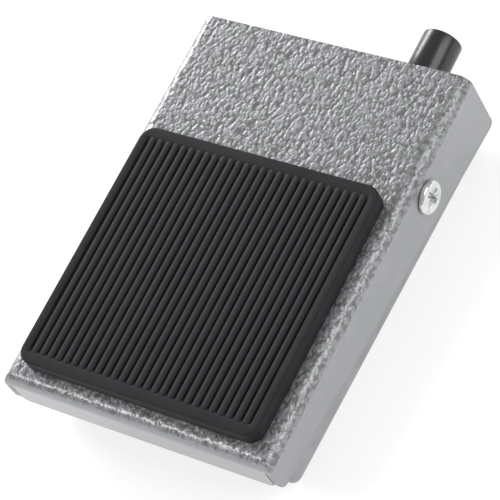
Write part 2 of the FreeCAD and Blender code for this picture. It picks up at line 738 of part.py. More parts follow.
def make_sector_fixings():
    nuts, washers = [], []
    under = "pivot_drop - steel - sector_foot_thick"
    for place in ("stud_toe", "stud_heel"):
        spot = {"x": "stud_x", "y": "-" + place}
        washers.append(ring("washer_" + place, "3", "stud_radius + 0.1", "0.5", z=f"{under} - 0.5", **spot))
        prism = hexagon("prism_" + place, "5.5", "2.4", z=f"{under} - 2.9", **spot)
        hole = cylinder("hole_" + place, "stud_radius + 0.03", "2.4", z=f"{under} - 2.9", **spot)
        nuts.append(cut("nut_" + place, prism, hole))
    keep(on_treadle(join("sector_washers", *washers)))
    keep(on_treadle(join("sector_nuts", *nuts)))


# ---------------------------------------------------------------- assembly and hand-in

make_treadle()
make_tread_pad()
make_gear_sector()
make_sector_fixings()
make_drive_pinion()
make_potentiometer()
make_pot_bracket()
make_base_pan()
make_feet()
make_pivot_hardware()
make_gland()
make_stops()
make_spring()
doc.recompute()

for thing in doc.Objects:
    trouble = {"Invalid", "Error"} & set(thing.State)
    assert not trouble, f"{thing.Label}: {thing.State}"

os.makedirs("parts", exist_ok=True)
for node in nodes:
    shape = node.Shape
    assert not shape.isNull() and shape.isValid() and shape.Solids, node.Label + " has no sound shape"
    shape.exportStep(f"parts/{node.Label}.step")
    box_of = shape.BoundBox
    print(f"{node.Label:16s} solids {len(shape.Solids)}  volume {shape.Volume:9.1f}  "
          f"x {box_of.XMin:7.2f} {box_of.XMax:7.2f}  y {box_of.YMin:7.2f} {box_of.YMax:7.2f}  "
          f"z {box_of.ZMin:7.2f} {box_of.ZMax:7.2f}")
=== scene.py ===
import json
import math

import bmesh
import bpy
from mathutils import Matrix, Vector


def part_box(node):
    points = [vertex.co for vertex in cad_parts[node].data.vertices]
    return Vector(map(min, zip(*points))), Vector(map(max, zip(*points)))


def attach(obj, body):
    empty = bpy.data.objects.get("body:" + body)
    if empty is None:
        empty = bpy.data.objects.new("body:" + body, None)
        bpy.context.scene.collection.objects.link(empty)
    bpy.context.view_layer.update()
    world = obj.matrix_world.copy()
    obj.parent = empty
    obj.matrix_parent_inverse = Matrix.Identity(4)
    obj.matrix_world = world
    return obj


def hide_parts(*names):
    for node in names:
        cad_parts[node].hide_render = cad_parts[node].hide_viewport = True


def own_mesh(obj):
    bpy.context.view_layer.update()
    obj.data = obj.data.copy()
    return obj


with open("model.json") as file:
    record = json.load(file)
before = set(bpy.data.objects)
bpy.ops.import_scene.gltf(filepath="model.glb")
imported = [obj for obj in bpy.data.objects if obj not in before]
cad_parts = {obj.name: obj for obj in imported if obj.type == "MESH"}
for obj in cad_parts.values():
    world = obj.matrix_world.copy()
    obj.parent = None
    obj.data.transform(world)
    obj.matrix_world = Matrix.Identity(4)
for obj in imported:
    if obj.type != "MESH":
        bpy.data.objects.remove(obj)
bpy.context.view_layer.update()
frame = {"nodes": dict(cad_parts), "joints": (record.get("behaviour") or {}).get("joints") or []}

# A small foot-operated volume pedal: a treadle of folded steel sheet in grey hammered paint,
# with a ribbed rubber tread pad, on a steel base pan.  Lengths are in metres; MM turns the
# sizes below, which are in millimetres, into them.

MM = 0.001
nodes = frame["nodes"]

# The treadle's own axes start at the pivot and lean with its top. Toe and heel are distances
# from the pivot to the two ends of the fold, and the top is the height of the steel's face.
PIVOT = Vector(next(joint["pos_m"] for joint in frame["joints"] if joint["name"] == "treadle_tilt"))
REST_SLOPE = math.radians(2.17)
TREADLE_TOE = 73.0
TREADLE_HEEL = 27.0
TREADLE_TOP = 7.5


# ---------------------------------------------------------------- camera

def place_camera(azimuth, elevation, roll, distance, target, lens):
    """Looks at the target from an azimuth and elevation, turned about its own line of sight."""
    az, el, turn = (math.radians(angle) for angle in (azimuth, elevation, roll))
    back = Vector((math.sin(az) * math.cos(el), -math.cos(az) * math.cos(el), math.sin(el)))
    level = Vector((math.cos(az), math.sin(az), 0))
    upright = back.cross(level)
    right = level * math.cos(turn) + upright * math.sin(turn)
    up = back.cross(right)
    camera = bpy.data.objects.new("camera", bpy.data.cameras.new("camera"))
    bpy.context.scene.collection.objects.link(camera)
    bpy.context.scene.camera = camera
    camera.data.lens = lens
    camera.data.clip_start = 0.01
    camera.data.clip_end = 10
    camera.matrix_world = Matrix.Translation(target + back * distance) @ Matrix(
        (right, up, back)).transposed().to_4x4()


place_camera(azimuth=56.05, elevation=51.28, roll=-32.84, distance=0.5804,
             target=Vector((-0.18, -5.48, 13.22)) * MM, lens=186.36)


# ---------------------------------------------------------------- node trees

class Wiring:
    """Adds nodes to one tree. A value given to a socket is a constant or another node's output."""

    def __init__(self, tree):
        self.tree = tree

    def add(self, kind, sockets=None, **settings):
        node = self.tree.nodes.new(kind)
        for name, value in settings.items():
            setattr(node, name, value)
        for key, value in (sockets or {}).items():
            socket = node.inputs[key]
            if isinstance(value, bpy.types.NodeSocket):
                self.tree.links.new(value, socket)
            else:
                socket.default_value = value
        return node

    def math(self, operation, *values):
        return self.add("ShaderNodeMath", dict(enumerate(values)), operation=operation).outputs[0]

    def plus(self, a, b):
        return self.math("ADD", a, b)

    def minus(self, a, b):
        return self.math("SUBTRACT", a, b)

    def times(self, a, b):
        return self.math("MULTIPLY", a, b)

    def over(self, a, b):
        return self.math("DIVIDE", a, b)

    def least(self, a, b):
        return self.math("MINIMUM", a, b)

    def most(self, a, b):
        return self.math("MAXIMUM", a, b)

    def vector(self, operation, *values):
        sockets = dict(enumerate(values))
        return self.add("ShaderNodeVectorMath", sockets, operation=operation).outputs[0]

    def scaled(self, vector, factor):
        node = self.add("ShaderNodeVectorMath", {0: vector, "Scale": factor}, operation="SCALE")
        return node.outputs[0]

    def split(self, vector):
        return self.add("ShaderNodeSeparateXYZ", {0: vector}).outputs

    def joined(self, x, y, z):
        return self.add("ShaderNodeCombineXYZ", {"X": x, "Y": y, "Z": z}).outputs[0]

    def noise(self, place, scale, detail=2.0):
        """The two outputs of a noise texture: a value and a colour."""
        return self.add("ShaderNodeTexNoise", {"Vector": place, "Scale": scale, "Detail": detail}).outputs

    def ramp(self, value, low, high, to_low=0.0, to_high=1.0):
        """Maps low..high smoothly to to_low..to_high and holds the ends."""
        node = self.add("ShaderNodeMapRange",
                        {"Value": value, "From Min": low, "From Max": high,
                         "To Min": to_low, "To Max": to_high}, interpolation_type="SMOOTHSTEP")
        return node.outputs[0]

    def blended(self, factor, colour_a, colour_b):
        node = self.add("ShaderNodeMix", {0: factor, 6: colour_a, 7: colour_b}, data_type="RGBA")
        return node.outputs[2]


def hammered(w, place):
    """Height, about 0 to 1, of hammered paint: crowded domes that run together, parted by creases.

    The place is in mm. The domes are drawn out along the treadle, wander, and carry finer lumps
    on a slow swell. Scales are per mm.
    """
    drawn_out, wander, wander_scale = (1.15, 0.85, 1.0), 2.0, 0.7
    dome_scale, dome_blend, dome_curve, dome_share = 0.95, 0.12, 2.0, 0.5
    lump_scale, lump_share = 2.0, 0.5
    swell_scale, swell_share = 0.4, 0.25

    place = w.vector("MULTIPLY", place, drawn_out)
    drift = w.vector("SUBTRACT", w.noise(place, wander_scale, 1.0)[1], (0.5, 0.5, 0.5))
    place = w.vector("ADD", place, w.scaled(drift, wander))
    cells = w.add("ShaderNodeTexVoronoi",
                  {"Vector": place, "Scale": dome_scale, "Smoothness": dome_blend},
                  feature="SMOOTH_F1").outputs["Distance"]
    domes = w.minus(1.0, w.times(w.times(cells, cells), dome_curve))
    lumps = w.noise(place, lump_scale, 1.0)[0]
    swell = w.noise(place, swell_scale, 1.0)[0]
    height = w.plus(w.times(domes, dome_share), w.times(lumps, lump_share))
    return w.plus(height, w.times(swell, swell_share))


# ---------------------------------------------------------------- materials

def grey(level, tint=(1.0, 1.0, 1.0)):
    return (level * tint[0], level * tint[1], level * tint[2], 1.0)


def start_material(name, **constants):
    """A Principled material with constants set on its own sockets, and Object coordinates in mm."""
    material = bpy.data.materials.new(name)
    material.use_nodes = True
    w = Wiring(material.node_tree)
    shader = material.node_tree.nodes["Principled BSDF"]
    for socket, value in constants.items():
        shader.inputs[socket.replace("_", " ")].default_value = value
    place = w.add("ShaderNodeTexCoord").outputs["Object"]
    return material, w, shader, w.scaled(place, 1 / MM)


def use(w, shader, **sockets):
    for name, value in sockets.items():
        w.tree.links.new(value, shader.inputs[name.replace("_", " ")])


def bumped(w, shader, height, strength, depth):
    """Sets the shader's normal from a height; depth is the height's full range in mm."""
    node = w.add("ShaderNodeBump", {"Height": height, "Strength": strength, "Distance": depth * MM})
    w.tree.links.new(node.outputs[0], shader.inputs["Normal"])


def hammered_paint(name):
    """Grey hammered paint: silver flake in a clear gloss, with painted shade that darkens the creases.

    The "relief" attribute says how lumpy it is, from 0 on a flat stretch to 1.
    """
    material, w, shader, place = start_material(name, Coat_Weight=0.9, Coat_Roughness=0.2,
                                                Metallic=0.45)
    green_grey, violet_grey = grey(0.295, (0.95, 1.0, 1.02)), grey(0.305, (1.0, 0.985, 1.09))
    relief = w.add("ShaderNodeAttribute", attribute_name="relief").outputs["Fac"]
    height = hammered(w, place)
    cloud = w.noise(place, 0.16)[0]
    fine = w.noise(place, 5.0)[0]
    tint = w.blended(w.ramp(cloud, 0.38, 0.62), green_grey, violet_grey)
    # Painted shade: where the paint is lumpy, its colour goes towards dark grey in the creases between the
    # domes.
    painted_crease_shade = w.times(w.ramp(height, 0.35, 0.75, 1.0, 0.0), relief)
    use(w, shader, Base_Color=w.blended(painted_crease_shade, tint, grey(0.16)),
        Roughness=w.ramp(fine, 0.3, 0.7, 0.34, 0.44))
    bumped(w, shader, w.plus(w.times(height, relief), w.times(fine, 0.06)), 0.8, 0.2)
    return material


def smooth_paint(name, level):
    """The same paint where it was sprayed thinly: nearly flat, with soft clouds and a fine peel."""
    material, w, shader, place = start_material(name, Coat_Weight=0.15, Coat_Roughness=0.3,
                                                Metallic=0.2)
    dark, light = grey(level * 0.91, (0.97, 1.0, 1.01)), grey(level * 1.06, (1.0, 0.985, 1.05))
    cloud = w.noise(place, 0.22, 3.0)[0]
    peel = w.noise(place, 1.3, 3.0)[0]
    use(w, shader, Base_Color=w.blended(w.ramp(cloud, 0.35, 0.65), dark, light),
        Roughness=w.ramp(peel, 0.3, 0.7, 0.4, 0.52))
    bumped(w, shader, peel, 0.35, 0.1)
    return material


def rubber(name, level):
    """Moulded rubber: dark, dull, with a fine grain and faint bloom; a painted highlight makes it lighter on
    the rib crowns.
    """
    material, w, shader, place = start_material(name, Specular_IOR_Level=0.22, Sheen_Weight=0.04,
                                                Sheen_Roughness=0.5)
    dark, light = grey(level * 0.85, (0.97, 0.95, 1.2)), grey(level * 1.15, (0.99, 0.96, 1.16))
    # Painted highlight: where a piece marks its crowns, the colour goes towards a grey twice as light.
    crown_highlight_grey = grey(level * 2.0, (0.97, 0.96, 1.16))
    worn = w.add("ShaderNodeAttribute", attribute_name="worn").outputs["Fac"]
    bloom = w.noise(place, 0.12, 3.0)[0]
    skin = w.noise(place, 7.0, 4.0)[0]
    colour = w.blended(w.ramp(bloom, 0.3, 0.7), dark, light)
    use(w, shader, Base_Color=w.blended(w.times(worn, 0.8), colour, crown_highlight_grey),
        Roughness=w.ramp(skin, 0.25, 0.75, 0.5, 0.66))
    bumped(w, shader, skin, 0.35, 0.05)
    return material


def metal(name, colour, rough, brushed=0.0, blotch=0.12):
    """Plated or turned metal: cloudy plating, and fine scratches drawn out along X when brushed."""
    material, w, shader, place = start_material(name, Metallic=1.0)
    crowded = 1.0 + 9.0 * brushed
    cloud = w.noise(place, 0.5, 3.0)[0]
    scratch = w.noise(w.vector("MULTIPLY", place, (1.0, crowded, crowded)), 5.0, 4.0)[0]
    dark = tuple(c * (1 - 2 * blotch) for c in colour) + (1.0,)
    light = tuple(min(1.0, c * (1 + blotch)) for c in colour) + (1.0,)
    use(w, shader, Base_Color=w.blended(w.ramp(cloud, 0.3, 0.7), dark, light),
        Roughness=w.ramp(scratch, 0.25, 0.75, rough * 0.75, rough * 1.3))
    bumped(w, shader, scratch, 0.2, 0.02)
    return material


def plastic(name, colour, rough, coat=0.0):
    """Moulded plastic: even colour with faint flow marks and a fine spark-eroded skin."""
    material, w, shader, place = start_material(name, Coat_Weight=coat, Coat_Roughness=0.12)
    flow = w.noise(w.vector("MULTIPLY", place, (1.0, 0.3, 1.0)), 0.6)[0]
    skin = w.noise(place, 8.0, 3.0)[0]
    dark = tuple(c * 0.85 for c in colour) + (1.0,)
    light = tuple(min(1.0, c * 1.12) for c in colour) + (1.0,)
    use(w, shader, Base_Color=w.blended(w.ramp(flow, 0.3, 0.7), dark, light),
        Roughness=w.ramp(skin, 0.25, 0.75, rough * 0.85, rough * 1.2))
    bumped(w, shader, skin, 0.2, 0.03)
    return material


finishes = {
    "treadle_paint": smooth_paint("treadle_paint_thin", 0.33),
    "base_paint": smooth_paint("base_paint_thin", 0.31),
    "ribbed_rubber": rubber("ribbed_rubber_skin", 0.013),
    "foot_rubber": rubber("foot_rubber_skin", 0.018),
    "zinc_steel": metal("zinc_steel_plate", (0.62, 0.63, 0.64), 0.34),
    "bright_zinc": metal("bright_zinc_plate", (0.78, 0.79, 0.78), 0.2, blotch=0.06),
    "brass": metal("turned_brass", (0.72, 0.53, 0.25), 0.26, brushed=0.6),
    "white_nylon": plastic("white_nylon_moulding", (0.72, 0.71, 0.66), 0.45),
    "gland_plastic": plastic("gland_black", (0.016, 0.016, 0.018), 0.3, coat=0.3),
    "spring_steel": metal("spring_wire_steel", (0.38, 0.38, 0.40), 0.3, brushed=0.3),
    "pot_case": metal("pot_case_tin", (0.60, 0.60, 0.58), 0.36),
    "pot_resin": plastic("pot_resin_green", (0.10, 0.22, 0.14), 0.4),
    "tinned_brass": metal("tinned_lugs", (0.66, 0.65, 0.60), 0.3),
    "pot_shaft_steel": metal("pot_shaft_turned", (0.55, 0.55, 0.55), 0.3, brushed=0.6),
}
hammered_grey = hammered_paint("treadle_hammered")

for node in nodes.values():
    for slot in node.material_slots:
        slot.material = finishes[slot.material.name.split(".")[0]]


# ---------------------------------------------------------------- making pieces

def link(name, mesh):
    piece = bpy.data.objects.new(name, mesh)
    bpy.context.scene.collection.objects.link(piece)
    return piece


def mesh_from(name, points, faces):
    mesh = bpy.data.meshes.new(name)
    mesh.from_pydata([tuple(point) for point in points], [], faces)
    return mesh


def shaded(mesh, sharp_degrees=40):
    """Smooth shading that breaks at sharp edges."""
    mesh.polygons.foreach_set("use_smooth", [True] * len(mesh.polygons))
    mesh.set_sharp_from_angle(angle=math.radians(sharp_degrees))
    return mesh


def tidied(mesh):
    """Merges doubled points and turns every face outward."""
    shape = bmesh.new()
    shape.from_mesh(mesh)
    bmesh.ops.remove_doubles(shape, verts=shape.verts, dist=1e-7)
    bmesh.ops.recalc_face_normals(shape, faces=shape.faces)
    shape.to_mesh(mesh)
    shape.free()
    return mesh


class Growth(Wiring):
    """A geometry node tree with named inputs, run once on a mesh and turned into a plain mesh."""

    def __init__(self, name, sizes):
        super().__init__(bpy.data.node_groups.new(name, "GeometryNodeTree"))
        self.name = name
        self.values = {}
        face = self.tree.interface
        face.new_socket("Geometry", in_out="INPUT", socket_type="NodeSocketGeometry")
        for label, value in sizes.items():
            kind = {int: "NodeSocketInt", float: "NodeSocketFloat",
                    bpy.types.Object: "NodeSocketObject"}.get(type(value), "NodeSocketMaterial")
            socket = face.new_socket(label, in_out="INPUT", socket_type=kind)
            self.values[socket.identifier] = value
        face.new_socket("Geometry", in_out="OUTPUT", socket_type="NodeSocketGeometry")
        self.inputs = self.add("NodeGroupInput").outputs

    def geometry(self, kind, sockets=None, **settings):
        return self.add("GeometryNode" + kind, sockets, **settings).outputs[0]

    def together(self, *parts):
        """Several geometries as one."""
        node = self.add("GeometryNodeJoinGeometry")
        for part in parts:
            self.tree.links.new(part, node.inputs[0])
        return node.outputs[0]

    def welded(self, part):
        """A geometry whose points less than a micron apart are made one."""
        return self.geometry("MergeByDistance", {0: part, "Distance": 0.001 * MM})

    def with_attribute(self, part, name, value):
        return self.geometry("StoreNamedAttribute", {0: part, "Name": name, "Value": value},
                             data_type="FLOAT", domain="POINT")

    def attribute(self, name, data_type="FLOAT"):
        return self.add("GeometryNodeInputNamedAttribute", {"Name": name}, data_type=data_type).outputs[0]

    def on_treadle(self, part):
        """Moves a geometry made in the treadle's own axes to where the treadle rests."""
        return self.geometry("Transform", {0: part, "Translation": tuple(PIVOT),
                                           "Rotation": (REST_SLOPE, 0, 0)})

    def grown(self, part, seed_mesh=None):
        """Ends the tree with Realize Instances and Set Material, and gives the finished mesh."""
        whole = self.geometry("RealizeInstances", {0: part})
        whole = self.geometry("SetMaterial", {0: whole, "Material": self.inputs["Material"]})
        self.add("NodeGroupOutput", {0: whole})
        host = link(self.name, seed_mesh or bpy.data.meshes.new(self.name + "_seed"))
        modifier = host.modifiers.new(self.name, "NODES")
        modifier.node_group = self.tree
        for identifier, value in self.values.items():
            modifier[identifier] = value
        evaluated = host.evaluated_get(bpy.context.evaluated_depsgraph_get())
        mesh = bpy.data.meshes.new_from_object(evaluated)
        bpy.data.objects.remove(host)
        return mesh


# ---------------------------------------------------------------- the hammered coat of paint

class TreadleCoat(Growth):
    """The thick coat on the outside of the folded treadle, from skirt edge over the top to skirt edge."""

    def __init__(self):
        super().__init__("treadle_coat", {
            "Half width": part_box("treadle")[1].x, "Toe": TREADLE_TOE * MM, "Heel": TREADLE_HEEL * MM,
            "Top": TREADLE_TOP * MM, "Bend": 3.0 * MM, "Corner": 1.8 * MM,
            "Skirt at toe": 9.9 * MM, "Skirt at heel": 18.5 * MM, "Seam inset": 1.75 * MM,
            "Step": 0.37 * MM, "Top share": 0.84,
            "Thickness": 0.03 * MM, "Blob height": 0.2 * MM,
            "Edge bead": 0.1 * MM, "Bead width": 0.5 * MM,
            "Side smooth from": 2.4 * MM, "Side smooth by": 2.9 * MM,
            "Toe smooth from": 1.7 * MM, "Toe smooth by": 2.7 * MM,
            "Material": hammered_grey})
        i = self.inputs
        self.flat_half = self.minus(i["Half width"], i["Bend"])
        self.flat_toe = self.minus(i["Toe"], i["Bend"])
        self.quarter = self.times(i["Bend"], math.pi / 2)
        self.across = self.plus(self.flat_half, self.quarter)
        self.reach = self.plus(self.across, self.minus(i["Skirt at heel"], i["Bend"]))
        self.seam = self.minus(i["Half width"], i["Seam inset"])

    def panel(self, deep):
        """A fine grid, with u from -1 to 1 across and v from 0 to 1 towards the toe."""
        step = self.inputs["Step"]
        grid = self.geometry("MeshGrid", {
            "Size X": 2.0, "Size Y": 1.0,
            "Vertices X": self.math("CEIL", self.over(self.times(self.reach, 2.0), step)),
            "Vertices Y": self.math("CEIL", self.over(deep, step))})
        u, v, _ = self.split(self.geometry("InputPosition"))
        return grid, u, self.plus(v, 0.5)

    def spread(self, u):
        """(run over the top and bend, share of the way down the skirt): most columns go to the top."""
        share = self.inputs["Top share"]
        away = self.math("ABSOLUTE", u)
        run = self.times(self.least(self.over(away, share), 1.0), self.across)
        rest = self.minus(1.0, self.over(self.minus(away, share), self.minus(1.0, share)))
        rest = self.least(self.most(rest, 0.0), 1.0)
        return run, self.minus(1.0, self.math("POWER", rest, 1.6))

    def over_bend(self, run, flat):
        """(distance out, drop) after a run over the flat and round the bend."""
        bend = self.inputs["Bend"]
        turn = self.least(self.over(self.most(self.minus(run, flat), 0.0), bend), math.pi / 2)
        out = self.plus(self.least(run, flat), self.times(bend, self.math("SINE", turn)))
        return out, self.times(bend, self.minus(1.0, self.math("COSINE", turn)))

    def rounding(self, to_end):
        """How much a corner's rounding shortens a skirt at this distance from the skirt's end."""
        corner = self.inputs["Corner"]
        short = self.most(self.minus(corner, self.most(to_end, 0.0)), 0.0)
        square = self.minus(self.math("POWER", corner, 2.0), self.math("POWER", short, 2.0))
        return self.minus(corner, self.math("SQRT", square))

    def skirt_depth(self, y):
        """Depth of a side skirt's lower edge below the top plate, with its corners rounded."""
        i = self.inputs
        from_toe = self.plus(y, i["Toe"])
        share = self.over(from_toe, self.plus(i["Toe"], i["Heel"]))
        deeper = self.minus(i["Skirt at heel"], i["Skirt at toe"])
        depth = self.plus(i["Skirt at toe"], self.times(share, deeper))
        return self.minus(depth, self.rounding(self.least(from_toe, self.minus(i["Heel"], y))))

    def placed(self, grid, u, out, y, drop):
        """The grid moved out to the side that u is on, and down from the top."""
        place = self.joined(self.times(out, self.math("SIGN", u)), y, self.minus(self.inputs["Top"], drop))
        return self.geometry("SetPosition", {"Geometry": grid, "Position": place})

    def folded_sheet(self):
        """The top, the side skirts and their bends, and the bend over the toe."""
        i = self.inputs
        along = self.plus(self.plus(self.flat_toe, self.quarter), i["Heel"])
        grid, u, v = self.panel(along)
        run, down = self.spread(u)
        out, side_drop = self.over_bend(run, self.flat_half)
        forward, toe_drop = self.over_bend(self.minus(self.times(v, along), i["Heel"]), self.flat_toe)
        y = self.times(forward, -1.0)
        hang = self.times(down, self.minus(self.skirt_depth(y), i["Bend"]))
        above_skirt = self.math("LESS_THAN", down, 1e-6)
        drop = self.plus(self.most(side_drop, self.times(toe_drop, above_skirt)), hang)
        return self.placed(grid, u, out, y, drop)

    def toe_panel(self):
        """The toe skirt, from seam to seam, below its bend."""
        i = self.inputs
        deep = self.minus(i["Skirt at toe"], i["Bend"])
        grid, u, v = self.panel(deep)
        out, _ = self.over_bend(self.spread(u)[0], self.flat_half)
        hang = self.minus(deep, self.rounding(self.minus(self.seam, out)))
        drop = self.plus(i["Bend"], self.times(v, hang))
        toe = self.placed(grid, u, out, self.times(i["Toe"], -1.0), drop)
        away = self.math("ABSOLUTE", self.split(self.geometry("InputPosition"))[0])
        past_seam = self.math("GREATER_THAN", away, self.seam)
        return self.geometry("DeleteGeometry", {0: toe, "Selection": past_seam}, domain="POINT")

    def marked(self, coat):
        """Stores how lumpy the paint is ("relief") and the height of its thick lower edge ("bead")."""
        i = self.inputs
        x, y, z = self.split(self.geometry("InputPosition"))
        depth = self.minus(i["Top"], z)
        past_toe = self.minus(self.times(y, -1.0), self.flat_toe)
        relief = self.least(self.ramp(depth, i["Side smooth from"], i["Side smooth by"], 1.0, 0.05),
                            self.ramp(past_toe, i["Toe smooth from"], i["Toe smooth by"], 1.0, 0.07))
        on_side = self.math("GREATER_THAN", self.math("ABSOLUTE", x), self.minus(i["Half width"], 0.1 * MM))
        bead = self.ramp(self.minus(self.skirt_depth(y), depth), 0.0, i["Bead width"], 1.0, 0.0)
        bead = self.times(self.times(bead, on_side), i["Edge bead"])
        return self.with_attribute(self.with_attribute(coat, "bead", bead), "relief", relief)

    def raised(self, coat):
        """Lifts the coat off the steel by its thickness, its bead and its lumps."""
        i = self.inputs
        height = hammered(self, self.scaled(self.geometry("InputPosition"), 1 / MM))
        blob = self.times(self.times(height, self.attribute("relief")), i["Blob height"])
        push = self.plus(self.plus(i["Thickness"], self.attribute("bead")), blob)
        offset = self.scaled(self.geometry("InputNormal"), push)
        return self.geometry("SetPosition", {"Geometry": coat, "Offset": offset})


def hammered_coat():
    g = TreadleCoat()
    coat = g.welded(g.together(g.toe_panel(), g.folded_sheet()))
    coat = g.marked(g.geometry("FlipFaces", {0: coat}))
    coat = g.raised(g.on_treadle(coat))
    piece = link("treadle_coat", shaded(g.grown(coat), 60))
    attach(piece, "treadle")


hammered_coat()


# ---------------------------------------------------------------- turned and repeated pieces

def bridged(loops, closed_ends=True):
    """Faces between loops of points with the same count, each loop following the last."""
    count = len(loops[0])
    points = [point for loop in loops for point in loop]
    faces = []
    for row in range(len(loops) - 1):
        near, far = row * count, (row + 1) * count
        for k in range(count):
            after = (k + 1) % count
            faces.append((near + k, near + after, far + after, far + k))
    if closed_ends:
        faces.append(tuple(reversed(range(count))))
        faces.append(tuple(range(len(points) - count, len(points))))
    return points, faces


def circle(radius, z, steps):
    """A loop of points about Z, in metres, from a radius and height in mm."""
    angles = (2 * math.pi * k / steps for k in range(steps))
    return [(radius * MM * math.cos(t), radius * MM * math.sin(t), z * MM) for t in angles]


def turned_ring(name, profile, steps):
    """A hollow piece turned about Z from a closed ring of (radius, height) points."""
    loops = [circle(radius, z, steps) for radius, z in profile]
    loops.append(loops[0])
    points, faces = bridged(loops, closed_ends=False)
    return tidied(mesh_from(name, points, faces))


def arc(centre_r, centre_z, radius, start, end, steps):
    """Points of an arc in a turned profile, from one angle to another in degrees."""
    angles = [math.radians(start + (end - start) * k / steps) for k in range(steps + 1)]
    return [(centre_r + radius * math.cos(t), centre_z + radius * math.sin(t)) for t in angles]


def repeated(name, pattern, places, material, body, replaced):
    """One piece of alike parts: the pattern at each (place, turn), with turn as Euler angles."""
    spots = mesh_from(name + "_spots", [place for place, _ in places], [])
    turns = spots.attributes.new("turn", "FLOAT_VECTOR", "POINT")
    turns.data.foreach_set("vector", [angle for _, turn in places for angle in turn])
    master = link(name + "_pattern", pattern)
    g = Growth(name, {"Pattern": master, "Material": material})
    source = g.add("GeometryNodeObjectInfo", {"Object": g.inputs["Pattern"]}).outputs["Geometry"]
    points = g.geometry("MeshToPoints", {0: g.inputs["Geometry"]})
    turn = g.attribute("turn", "FLOAT_VECTOR")
    copies = g.geometry("InstanceOnPoints", {"Points": points, "Instance": source, "Rotation": turn})
    piece = link(name, shaded(g.grown(copies, spots)))
    bpy.data.objects.remove(master)
    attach(piece, body)
    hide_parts(replaced)


# ---------------------------------------------------------------- tread pad

# Sizes of the pad in the treadle's own axes, in mm: the slab's outline and thickness, and the
# sunk field inside its plain border, which the ribs stand in.
PAD_HALF_WIDTH = 32.0
PAD_TOE = 69.0
PAD_HEEL = 6.0
PAD_THICK = 4.0
PAD_CORNER = 3.6
PAD_EDGE = 0.35
BORDER_SIDE = 2.17
BORDER_END = 2.6
FIELD_SUNK = 0.78


def rounded_rectangle(low, high, inset, radius, z, steps=8):
    """A loop of points round a rectangle with rounded corners, drawn inset by (x, y) from low and high."""
    x0, y0 = low[0] + inset[0], low[1] + inset[1]
    x1, y1 = high[0] - inset[0], high[1] - inset[1]
    corners = ((x1 - radius, y1 - radius, 0), (x0 + radius, y1 - radius, 90),
               (x0 + radius, y0 + radius, 180), (x1 - radius, y0 + radius, 270))
    return [((cx + radius * math.cos(math.radians(first + 90 * k / steps))) * MM,
             (cy + radius * math.sin(math.radians(first + 90 * k / steps))) * MM, z * MM)
            for cx, cy, first in corners for k in range(steps + 1)]


def pad_body():
    """The moulded slab under the ribs: a rounded rim around a sunk field.

    The field's wall is steep at the sides and slopes at the ends, so its insets are (x, y) pairs.
    """
    low, high = (-PAD_HALF_WIDTH, -PAD_TOE), (PAD_HALF_WIDTH, -PAD_HEEL)
    field_low = (low[0] + BORDER_SIDE, low[1] + BORDER_END)
    field_high = (high[0] - BORDER_SIDE, high[1] - BORDER_END)
    under, top = TREADLE_TOP, TREADLE_TOP + PAD_THICK
    bed = top - FIELD_SUNK
    loops = [rounded_rectangle(low, high, (0.2, 0.2), PAD_CORNER, under),
             rounded_rectangle(low, high, (0.0, 0.0), PAD_CORNER, under + 0.25)]
    edge_steps = 6
    for k in range(edge_steps + 1):
        turn = math.pi / 2 * k / edge_steps
        inset = PAD_EDGE * (1 - math.cos(turn))
        z = top - PAD_EDGE * (1 - math.sin(turn))
        loops.append(rounded_rectangle(low, high, (inset, inset), PAD_CORNER - inset, z))
    field_wall = (((-0.1, -0.3), top), ((-0.02, -0.05), top - 0.04), ((0.0, 0.15), top - 0.14),
                  ((0.08, 1.2), bed + 0.08), ((0.2, 1.6), bed))
    for inset, z in field_wall:
        loops.append(rounded_rectangle(field_low, field_high, inset, 0.5, z))
    points, faces = bridged(loops)
    return tidied(mesh_from("pad_body", points, faces))


